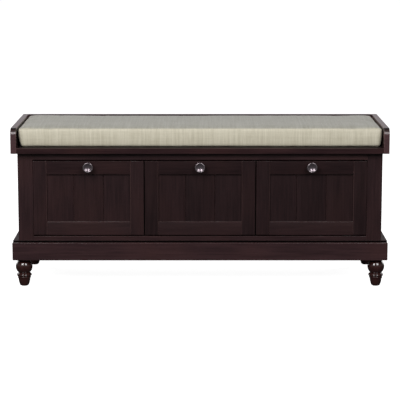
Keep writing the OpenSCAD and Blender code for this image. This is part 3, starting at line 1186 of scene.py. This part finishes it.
@dataclass
class Cushion:
    """The loose seat cushion: a sewn linen cover, filled out by pressure from inside."""

    # The cut cover: how much narrower and higher it is than the cushion, its rounding and its mesh
    slack: float = 1.0 * MM
    lift: float = 1.0 * MM
    edge_r: float = 7.5 * MM
    cell: float = 7.0 * MM
    rise: float = 5.5 * MM
    ripple: float = 0.9 * MM
    frames: int = 20
    quick_share: float = 0.8
    # The seams: how far they are pressed in, and how wide and far round the edge they are marked
    seam_deep: float = 1.3 * MM
    seam_w: float = 0.6 * MM
    seam_share: float = 0.6
    # The push at the ends and the front, and how far from them it is felt
    spread: float = 8.0 * MM
    belly: float = 3.0 * MM
    tuck_left: float = 1.5 * MM
    tuck_right: float = -3.0 * MM
    pull: float = 60.0 * MM
    # The air that is left to the tray
    clear: float = 0.4 * MM

    def cover(self) -> bpy.types.Object:
        """Cut the cover a little narrower and higher than the cushion, with rounded edges.

        Returns:
            An even mesh whose seam corners carry the attribute "seam".
        """
        low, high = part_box("cushion")
        inset = Vector((self.slack, self.slack, 0.0))
        whole = Board(low + inset, high - inset + Vector((0.0, 0.0, self.lift)))
        made = Workshop.cuboid("cushion_pad", whole)
        with Workshop.editing(made):
            bpy.ops.mesh.select_all(action="SELECT")
            bpy.ops.mesh.bevel(offset=self.edge_r, segments=4, profile=0.5, affect="EDGES")
        self.mark_seams(made, whole)
        for axis in range(3):
            self.divide(made, axis, whole.high[axis] - whole.low[axis] - 2 * self.edge_r)
        return made

    def mark_seams(self, cover: bpy.types.Object, whole: Board) -> None:
        """Mark the middle of the rounded edges above and below, where the cover is sewn.

        Args:
            cover: The rounded cover.
            whole: Its corners.
        """
        centre = (whole.low + whole.high) / 2
        half = (whole.high - whole.low) / 2
        marks = []
        for vertex in cover.data.vertices:
            away = [half[k] - abs(vertex.co[k] - centre[k]) for k in range(3)]
            flank = min(away[0], away[1])
            sewn = abs(away[2] - flank) < self.seam_w and flank < self.seam_share * self.edge_r
            marks.append(1.0 if sewn else 0.0)
        Workshop.mark(cover, "seam", marks)

    def divide(self, cover: bpy.types.Object, axis: int, length: float) -> None:
        """Divide the edges that run along an axis into short ones.

        Args:
            cover: The cover.
            axis: 0, 1 or 2 for X, Y or Z.
            length: How long the undivided edges are.
        """
        parts = max(2, round(length / self.cell))
        first = max(1, round(math.sqrt(parts)))
        straight = 0.999
        shortest = self.cell * 1.2
        for cuts in (first - 1, round(parts / first) - 1):
            if cuts < 1:
                continue
            with Workshop.editing(cover):
                Workshop.pick(
                    cover,
                    "edges",
                    lambda e: e.calc_length() > shortest
                    and abs((e.verts[0].co - e.verts[1].co)[axis]) > straight * e.calc_length(),
                )
                bpy.ops.mesh.subdivide(number_cuts=cuts)

    def lay_pattern(self, cover: bpy.types.Object) -> None:
        """Store the cutting pattern in metres: lengthwise and across on top, upright on the sides.

        Args:
            cover: The cut cover.
        """
        pattern = cover.data.uv_layers.new(name="cutting_pattern")
        for face in cover.data.polygons:
            facing = max(range(3), key=lambda k: abs(face.normal[k]))
            across, up = ((1, 2), (0, 2), (0, 1))[facing]
            for corner in face.loop_indices:
                place = cover.data.vertices[cover.data.loops[corner].vertex_index].co
                pattern.data[corner].uv = (place[across], place[up])

    def fill(self, cover: bpy.types.Object) -> list[Vector]:
        """Blow the cover up by cloth simulation.

        Args:
            cover: The cut cover.

        Returns:
            How far each corner of the mesh moved.
        """
        before = [vertex.co.copy() for vertex in cover.data.vertices]
        Workshop.take(cover)
        bpy.ops.object.modifier_add(type="CLOTH")
        cloth = cover.modifiers[-1]
        for setting, value in (
            ("quality", 5),
            ("mass", 0.3),
            ("tension_stiffness", 18.0),
            ("compression_stiffness", 18.0),
            ("shear_stiffness", 8.0),
            ("bending_stiffness", 1.5),
            ("use_pressure", True),
            ("uniform_pressure_force", 4.0),
        ):
            setattr(cloth.settings, setting, value)
        cloth.settings.effector_weights.gravity = 0.0
        cloth.collision_settings.use_collision = False
        for step in range(1, self.frames + 1):
            bpy.context.scene.frame_set(step)
        Workshop.take(cover)
        bpy.ops.object.modifier_apply(modifier=cloth.name)
        bpy.context.scene.frame_set(1)
        return [vertex.co - start for vertex, start in zip(cover.data.vertices, before)]

    def settle(self, cover: bpy.types.Object, start: list[Vector], moves: list[Vector]) -> None:
        """Cap the filling's movement, press in the seams and keep clear of the tray.

        Args:
            cover: The cover.
            start: Where its corners were when cut.
            moves: How far they moved.
        """
        tray_low, tray_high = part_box("seat_board")
        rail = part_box("back_rail")[0].y - self.clear
        arm = tray_high.x - self.clear
        floor = tray_high.z + self.clear / 2
        seams = [entry.value for entry in cover.data.attributes["seam"].data]
        low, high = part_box("cushion")
        for vertex, origin, move, seam in zip(cover.data.vertices, start, moves, seams):
            far = move.length
            capped = move * (self.rise * math.tanh(far / self.rise) / far) if far > 1e-9 else move
            spot = origin + capped
            slow = noise.noise(origin * 7.0) + 0.5 * noise.noise(origin * 19.0)
            spot += vertex.normal * (slow * self.ripple - seam * self.seam_deep)
            spot += self.push(origin, low, high)
            spot.x = max(-arm, min(arm, spot.x))
            spot.y = min(rail, spot.y)
            spot.z = max(floor, spot.z)
            vertex.co = spot

    def push(self, place: Vector, low: Vector, high: Vector) -> Vector:
        """Return how far the filling pushes a corner that is near an end or the front.

        Args:
            place: Where the corner is.
            low: The cushion's lowest corner.
            high: Its highest corner.

        Returns:
            The shift: outward above and inward below at the ends, forward along the front.
        """
        side = math.copysign(1.0, place.x)
        near = max(0.0, 1.0 - (high.x - abs(place.x)) / self.pull)
        front = max(0.0, 1.0 - (place.y - low.y) / self.pull)
        below = max(0.0, min(1.0, (high.z - place.z) / (high.z - low.z)))
        tuck = self.tuck_left if side < 0 else self.tuck_right
        ends = side * near**2 * (self.spread * (1.0 - below**2) - tuck * below**2)
        return Vector((ends, -self.belly * front**2 * 4.0 * below * (1.0 - below), 0.0))

    def mark_top(self, cover: bpy.types.Object) -> None:
        """Store how squarely each corner looks up, where the cover's top gets painted shade, darker
        and cooler than the front.
        """
        Workshop.mark(cover, "flat", [max(0.0, vertex.normal.z) for vertex in cover.data.vertices])

    def build(self) -> None:
        """Cut, fill, settle and smooth the cushion."""
        cover = self.cover()
        self.lay_pattern(cover)
        start = [vertex.co.copy() for vertex in cover.data.vertices]
        moves = self.fill(cover)
        self.settle(cover, start, moves)
        Workshop.take(cover)
        bpy.ops.object.shade_smooth()
        bpy.ops.object.modifier_add(type="SUBSURF")
        smooth = cover.modifiers[-1]
        smooth.levels = 1
        smooth.render_levels = 1
        bpy.ops.object.modifier_apply(modifier=smooth.name)
        self.mark_top(cover)
        install(cover, "cushion", "cushion", Linen())


class Bay(Enum):
    """The three drawers and how much lighter each one's front is than the plain stain."""

    LEFT = ("left", 0.14)
    MIDDLE = ("middle", -0.08)
    RIGHT = ("right", -0.06)

    @property
    def side(self) -> str:
        """Return the name that the drawer's nodes start with."""
        return self.value[0]

    @property
    def tone(self) -> float:
        """Return how much lighter this drawer's front is."""
        return self.value[1]


@dataclass
class DrawerFront:
    """A framed front: two stiles, two rails and a panel of three V-jointed planks."""

    frame_w: float = 43.0 * MM
    stile_round: float = 3.2 * MM
    stile_ease: float = 1.2 * MM
    rail_round: float = 1.4 * MM
    rail_ease: float = 0.4 * MM
    bottom_tone: float = 0.18
    plank_w: float = 95.0 * MM
    plank_ease: float = 0.3 * MM
    plank_tones: tuple[float, float, float] = (0.10, -0.04, 0.03)
    vee: float = 3.2 * MM
    stain_pool: float = -0.85

    @staticmethod
    def frame_pair(
        name: str, radius: float, members: tuple[tuple[Board, str, float], ...]
    ) -> bpy.types.Object:
        """Make two members of the frame, with a rounded edge towards the panel.

        Args:
            name: The pair's name.
            radius: How much of that edge is rounded.
            members: Each member's board, and the axis and place at which it meets the panel.

        Returns:
            The joined pair, with its other edges still sharp.
        """
        pair = []
        for board, axis, inner in members:
            made = Workshop.cuboid(name, board)
            wanted = {axis: inner, "y": board.low.y}
            Workshop.round_over(made, radius, 4, lambda edge: lies_at(edge, **wanted))
            pair.append(made)
        return Workshop.join(name, pair)

    def stiles(self) -> bpy.types.Object:
        """Make the two stiles.

        Returns:
            The pair as one piece.
        """
        whole = board_of("middle_front_stiles")
        left = whole.shifted(high_x=whole.low.x + self.frame_w)
        right = whole.shifted(low_x=whole.high.x - self.frame_w)
        members = ((left, "x", left.high.x), (right, "x", right.low.x))
        pair = self.frame_pair("middle_front_stiles_wood", self.stile_round, members)
        return Workshop.ease(pair, self.stile_ease)

    def rails(self) -> bpy.types.Object:
        """Make the two rails.

        Returns:
            The pair as one piece.
        """
        whole = board_of("middle_front_rails")
        bottom = whole.shifted(high_z=whole.low.z + self.frame_w)
        bottom.tone = self.bottom_tone
        top = whole.shifted(low_z=whole.high.z - self.frame_w)
        members = ((bottom, "z", bottom.high.z), (top, "z", top.low.z))
        pair = self.frame_pair("middle_front_rails_wood", self.rail_round, members)
        return Workshop.ease(pair, self.rail_ease, 2)

    def panel(self) -> bpy.types.Object:
        """Make the panel's three planks, each with its own grain and tone.

        Returns:
            The planks as one piece.
        """
        whole = board_of("middle_front_panel")
        middle = (whole.low.x + whole.high.x) / 2
        joints = [whole.low.x, middle - self.plank_w / 2, middle + self.plank_w / 2, whole.high.x]
        planks = []
        for index, tone in enumerate(self.plank_tones):
            board = whole.shifted(low_x=joints[index], high_x=joints[index + 1])
            board.tone = tone
            made = Workshop.cuboid("plank", board)
            inner = [x for x in joints[index:index + 2] if x in joints[1:3]]
            Workshop.round_over(
                made,
                self.vee,
                2,
                lambda edge: any(lies_at(edge, x=x, y=whole.low.y) for x in inner),
            )
            planks.append(made)
        panel = Workshop.ease(Workshop.join("middle_front_panel_wood", planks), self.plank_ease, 2)
        # Painted shade: the V-joints between the planks are darkened
        Workshop.stain(
            panel, self.stain_pool, lambda at: min(abs(at.x - x) for x in joints[1:3]) < 0.5 * MM
        )
        return panel

    def build(self) -> Pieces:
        """Make the middle drawer's front.

        Returns:
            Each piece and its finish, by the node's name without its side.
        """
        return {
            "front_stiles": (self.stiles(), StainedWood(grain=Grain.ALONG_Z)),
            "front_rails": (self.rails(), StainedWood(grain=Grain.ALONG_X)),
            "front_panel": (self.panel(), StainedWood(grain=Grain.ALONG_Z)),
        }


@dataclass
class Knob:
    """A bronze knob with a dished face inside a rounded rim."""

    foot_r: float = 10.0 * MM
    foot_h: float = 3.0 * MM
    foot_round: float = 1.2 * MM
    cove_r: float = 5.0 * MM
    stem_r: float = 6.5 * MM
    flare_h: float = 6.0 * MM
    flare_in: float = 0.6 * MM
    dish_r: float = 12.5 * MM
    dish_deep: float = 4.5 * MM
    rim_r: float = 2.0 * MM
    screw_r: float = 2.1 * MM
    screw_deep: float = 12.0 * MM

    def profile(self, head_r: float, tall: float) -> list[Point]:
        """Return the outline from the foot to the middle of the dish.

        Args:
            head_r: Radius of the head.
            tall: Height of the rim above the foot's underside.

        Returns:
            Radius and height of each point.
        """
        sphere_r = (self.dish_r**2 + self.dish_deep**2) / (2 * self.dish_deep)
        dish_angle = math.degrees(math.asin(self.dish_r / sphere_r))
        foot_middle = (self.foot_r - self.foot_round, self.foot_h - self.foot_round)
        foot = arc(foot_middle, self.foot_round, 0, 90, 5)
        cove = arc((self.stem_r + self.cove_r, self.foot_h + self.cove_r), self.cove_r, 262, 180, 8)
        flare_w = head_r - self.flare_in - self.stem_r
        flare_z = tall - 2 * self.rim_r - self.flare_h
        steps = 8
        flare = [
            (
                self.stem_r + flare_w * (1 - math.cos(math.pi / 2 * k / steps)),
                flare_z + self.flare_h * math.sin(math.pi / 2 * k / steps),
            )
            for k in range(steps + 1)
        ]
        rim = arc((head_r - self.rim_r, tall - self.rim_r), self.rim_r, -40, 105, 12)
        dish = arc((0.0, tall - self.dish_deep + sphere_r), sphere_r, dish_angle - 90, -90, 12)
        hole = [(0.0, self.screw_deep), (self.screw_r, self.screw_deep), (self.screw_r, 0.0)]
        outline = [*hole, (self.foot_r, 0.0), *foot, *cove, *flare, *rim]
        return [*outline, *dish[:-1], (0.0, dish[-1][1])]

    def build(self) -> Pieces:
        """Turn the middle drawer's knob.

        Returns:
            The knob and its finish, by the node's name without its side.
        """
        low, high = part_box("middle_knob")
        foot = Vector(((low.x + high.x) / 2, high.y, (low.z + high.z) / 2))
        head_r = (high.x - low.x) / 2
        profile = self.profile(head_r, high.y - low.y)
        made = Workshop.turn("middle_knob_bronze", profile, foot, Vector((0, -1, 0)), steps=64)
        rim_y = low.y + self.rim_r
        worn = [
            max(0.0, 1.0 - abs(v.co.y - low.y) / (rim_y - low.y)) if v.co.y < rim_y else 0.0
            for v in made.data.vertices
        ]
        Workshop.mark(made, "wear", worn)
        return {"knob": (made, DarkBronze())}


@dataclass
class DrawerBox:
    """The birch box behind a drawer front."""

    board_t: float = 12.0 * MM
    side_ease: float = 1.5 * MM
    end_ease: float = 0.6 * MM

    @staticmethod
    def mark_plies(piece: bpy.types.Object, axis: int, thick: list[tuple[float, float]]) -> None:
        """Store how far through its board each corner of a mesh lies.

        Args:
            piece: The piece.
            axis: The axis across the boards: 0, 1 or 2.
            thick: Each board's two faces along that axis.
        """
        shares = []
        for vertex in piece.data.vertices:
            place = vertex.co[axis]
            near, far = min(thick, key=lambda pair: abs(place - (pair[0] + pair[1]) / 2))
            shares.append((place - near) / (far - near))
        Workshop.mark(piece, "across", shares)

    def build(self) -> Pieces:
        """Make the middle drawer's box.

        Returns:
            Each piece and its finish, by the node's name without its side.
        """
        whole = board_of("middle_box_sides")
        left = whole.shifted(high_x=whole.low.x + self.board_t)
        right = whole.shifted(low_x=whole.high.x - self.board_t)
        sides = Workshop.lumber("middle_box_sides_birch", [left, right], self.side_ease)
        self.mark_plies(sides, 0, [(side.low.x, side.high.x) for side in (left, right)])
        made = {"box_sides": (sides, BirchPly(grain=Grain.ALONG_Y))}
        for part in ("box_front", "box_back"):
            board = board_of(f"middle_{part}")
            end = Workshop.lumber(f"middle_{part}_birch", [board], self.end_ease, 2)
            self.mark_plies(end, 1, [(board.low.y, board.high.y)])
            made[part] = (end, BirchPly(grain=Grain.ALONG_X))
        return made


@dataclass
class Runners:
    """The moving members of a drawer's two runners: folded steel with a sunk web."""

    web_deep: float = 6.0 * MM
    lip: float = 5.0 * MM
    ease: float = 0.5 * MM
    head_r: float = 3.6 * MM
    head_h: float = 1.6 * MM
    rim_share: float = 0.45
    socket_share: float = 0.6

    def member(self, board: Board, outer: float) -> bpy.types.Object:
        """Make one runner.

        Args:
            board: Its corners.
            outer: X of the face that looks away from the drawer box.

        Returns:
            A bar whose outer face is sunk between two lips.
        """
        made = Workshop.cuboid("runner", board)
        inward = math.copysign(self.web_deep, (board.low.x + board.high.x) / 2 - outer)
        with Workshop.editing(made, "FACE"):
            Workshop.pick(made, "faces", lambda face: lies_at(face, x=outer))
            bpy.ops.mesh.inset(thickness=self.lip, depth=0.0)
            bpy.ops.mesh.extrude_region_move(TRANSFORM_OT_translate={"value": (inward, 0.0, 0.0)})
        return made

    def screws(self, board: Board, outer: float) -> list[bpy.types.Object]:
        """Make the three screw heads in a runner's web.

        Args:
            board: The runner's corners.
            outer: X of its outer face.

        Returns:
            The screw heads.
        """
        way = Vector((math.copysign(1.0, outer - (board.low.x + board.high.x) / 2), 0.0, 0.0))
        web = outer - way.x * self.web_deep
        heads = []
        for share in (0.12, 0.5, 0.88):
            place = board.low.y + share * (board.high.y - board.low.y)
            head = Workshop.primitive(
                bpy.ops.mesh.primitive_cylinder_add,
                vertices=20,
                radius=self.head_r,
                depth=self.head_h,
                location=(web + way.x * self.head_h / 2, place, (board.low.z + board.high.z) / 2),
                rotation=(0.0, math.pi / 2, 0.0),
            )
            with Workshop.editing(head, "FACE"):
                top = web + way.x * self.head_h
                Workshop.pick(head, "faces", lambda face: lies_at(face, x=top))
                bpy.ops.mesh.inset(thickness=self.rim_share * self.head_r, depth=0.0)
                sunk = -way.x * self.socket_share * self.head_h
                bpy.ops.mesh.extrude_region_move(TRANSFORM_OT_translate={"value": (sunk, 0.0, 0.0)})
            Workshop.stamp(head, 0.0)
            heads.append(head)
        return heads

    def build(self) -> Pieces:
        """Make the middle drawer's moving runners.

        Returns:
            The pair and its finish, by the node's name without its side.
        """
        whole = board_of("middle_runners")
        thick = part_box("middle_box_sides")[0].x - whole.low.x
        parts = []
        for board, outer in (
            (whole.shifted(high_x=whole.low.x + thick), whole.low.x),
            (whole.shifted(low_x=whole.high.x - thick), whole.high.x),
        ):
            parts.append(self.member(board, outer))
            parts += self.screws(board, outer)
        pair = Workshop.ease(Workshop.join("middle_runners_steel", parts), self.ease, 2)
        return {"runners": (pair, Zinc())}


@dataclass
class Drawers:
    """The three drawers: the middle one is modelled, and the outer ones are copies of it."""

    def build(self) -> None:
        """Model one drawer, copy it to the other bays and dress what stays in sight."""
        modelled = {}
        for maker in (DrawerFront(), Knob(), DrawerBox(), Runners()):
            modelled.update(maker.build())
        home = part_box("middle_knob")[0]
        # The middle drawer comes last, because its own tone must not reach the copies
        for bay in (Bay.LEFT, Bay.RIGHT, Bay.MIDDLE):
            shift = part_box(f"{bay.side}_knob")[0] - home
            for part, (piece, finish) in modelled.items():
                suffix = piece.name.rsplit("_", 1)[1]
                name = f"{bay.side}_{part}_{suffix}"
                own = piece if bay is Bay.MIDDLE else Workshop.copy(piece, name, shift)
                for entry in own.data.attributes["tone"].data:
                    entry.value += bay.tone
                install(own, f"{bay.side}_{part}", f"{bay.side}_drawer", finish)
            dress_node(f"{bay.side}_box_bottom", BirchPly(grain=Grain.ALONG_X))
            dress_node(f"{bay.side}_knob_screw", Zinc())
        dress_node("fixed_runners", Zinc())


# ---- Studio ----


@dataclass
class Studio:
    """A pale floor, two soft boxes in front, two weaker ones behind, and a camera in front."""

    # Places in metres, turns in degrees, lens and film in millimetres, powers in watts
    camera_away: float = 5.147
    camera_high: float = 1.1626
    camera_tilt: float = 9.682
    lens: float = 147.8
    film: float = 36.0
    box_away: float = 4.2
    box_rise: float = 32.0
    box_turn: float = 27.0
    box_wide: float = 1.7
    box_tall: float = 2.2
    left_power: float = 110.0
    right_power: float = 82.0
    fill_rise: float = 12.0
    fill_turn: float = 130.0
    fill_power: float = 34.0
    aim_high: float = 0.3
    floor_size: float = 60.0

    def stand_camera(self) -> None:
        """Put the camera before the bench, looking slightly down."""
        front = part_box("plinth_front")[0].y
        lens = bpy.data.cameras.new("camera")
        lens.lens = self.lens
        lens.sensor_width = self.film
        camera = bpy.data.objects.new("camera", lens)
        camera.location = (0.0, front - self.camera_away, self.camera_high)
        camera.rotation_euler = (math.radians(90.0 - self.camera_tilt), 0.0, 0.0)
        bpy.context.scene.collection.objects.link(camera)
        bpy.context.scene.camera = camera

    def hang_box(self, name: str, turn: float, lift: float, power: float) -> None:
        """Hang one soft box.

        Args:
            name: Its name.
            turn: How far to the right of the bench's middle it stands, in degrees.
            lift: How far above the bench it stands, in degrees.
            power: Its power in watts.
        """
        rise = math.radians(lift)
        side = math.radians(turn)
        flat = math.cos(rise)
        way = Vector((math.sin(side) * flat, -math.cos(side) * flat, math.sin(rise)))
        lamp = bpy.data.lights.new(name, "AREA")
        lamp.shape = "RECTANGLE"
        lamp.size = self.box_wide
        lamp.size_y = self.box_tall
        lamp.energy = power
        box = bpy.data.objects.new(name, lamp)
        box.location = Vector((0.0, 0.0, self.aim_high)) + way * self.box_away
        box.rotation_euler = (-way).to_track_quat("-Z", "Y").to_euler()
        bpy.context.scene.collection.objects.link(box)

    def light_room(self) -> None:
        """Light the room softly, dimmer overhead, before a white background."""
        world = bpy.data.worlds.new("room")
        world.use_nodes = True
        bpy.context.scene.world = world
        graph = Graph(world.node_tree)
        way = graph.node("ShaderNodeTexCoord", output="Generated")
        height = graph.node("ShaderNodeSeparateXYZ", {}, {0: way}, 2)
        stops = [(0.0, 0.18), (0.25, 0.16), (0.6, 0.08), (1.0, 0.05)]
        glow = graph.node("ShaderNodeValToRGB", {"stops": stops}, {0: height})
        behind = graph.node("ShaderNodeSeparateXYZ", {}, {0: way}, 1).step(0.2, 0.8)
        wall = behind * height.step(0.75, 0.35)
        glow = graph.blend(wall, glow, (0.42, 0.41, 0.42))
        seen = graph.node("ShaderNodeLightPath", output="Is Camera Ray")
        shown = graph.blend(seen, glow, (1.0, 1.0, 1.0))
        back = graph.node("ShaderNodeBackground", {}, {"Color": shown, "Strength": 1.0})
        graph.node("ShaderNodeOutputWorld", {}, {"Surface": back})

    def lay_floor(self) -> None:
        """Lay the pale floor, lifted to white for the eye so that only faint shadows show."""
        floor = Workshop.primitive(bpy.ops.mesh.primitive_plane_add, size=self.floor_size)
        floor.name = "floor"
        finish = bpy.data.materials.new("pale_floor")
        finish.use_nodes = True
        graph = Graph(finish.node_tree)
        seen = graph.node("ShaderNodeLightPath", output="Is Camera Ray")
        graph.surface(
            Base_Color=graph.blend(seen, (0.055, 0.055, 0.055), (0.80, 0.80, 0.80)),
            Roughness=0.9,
            Specular_IOR_Level=0.0,
            Emission_Color=graph.blend(seen, (0.0, 0.0, 0.0), (0.92, 0.92, 0.92)),
            Emission_Strength=1.0,
        )
        floor.data.materials.append(finish)

    def build(self) -> None:
        """Set up the camera, the light and the floor."""
        view = bpy.context.scene.view_settings
        view.view_transform = "Standard"
        view.look = "None"
        self.stand_camera()
        self.light_room()
        for name, turn, lift, power in (
            ("left_soft_box", -self.box_turn, self.box_rise, self.left_power),
            ("right_soft_box", self.box_turn, self.box_rise, self.right_power),
            ("left_fill", -self.fill_turn, self.fill_rise, self.fill_power),
            ("right_fill", self.fill_turn, self.fill_rise, self.fill_power),
        ):
            self.hang_box(name, turn, lift, power)
        self.lay_floor()


def main() -> None:
    """Build the bench and its studio in order."""
    logging.basicConfig(level=logging.INFO, format="%(name)s %(message)s")
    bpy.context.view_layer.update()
    for part in (Studio(), Plinth(), Feet(), Cabinet(), Tray(), Drawers(), Cushion()):
        part.build()
        LOG.info("%s done", type(part).__name__)


if __name__ == "__main__":
    main()
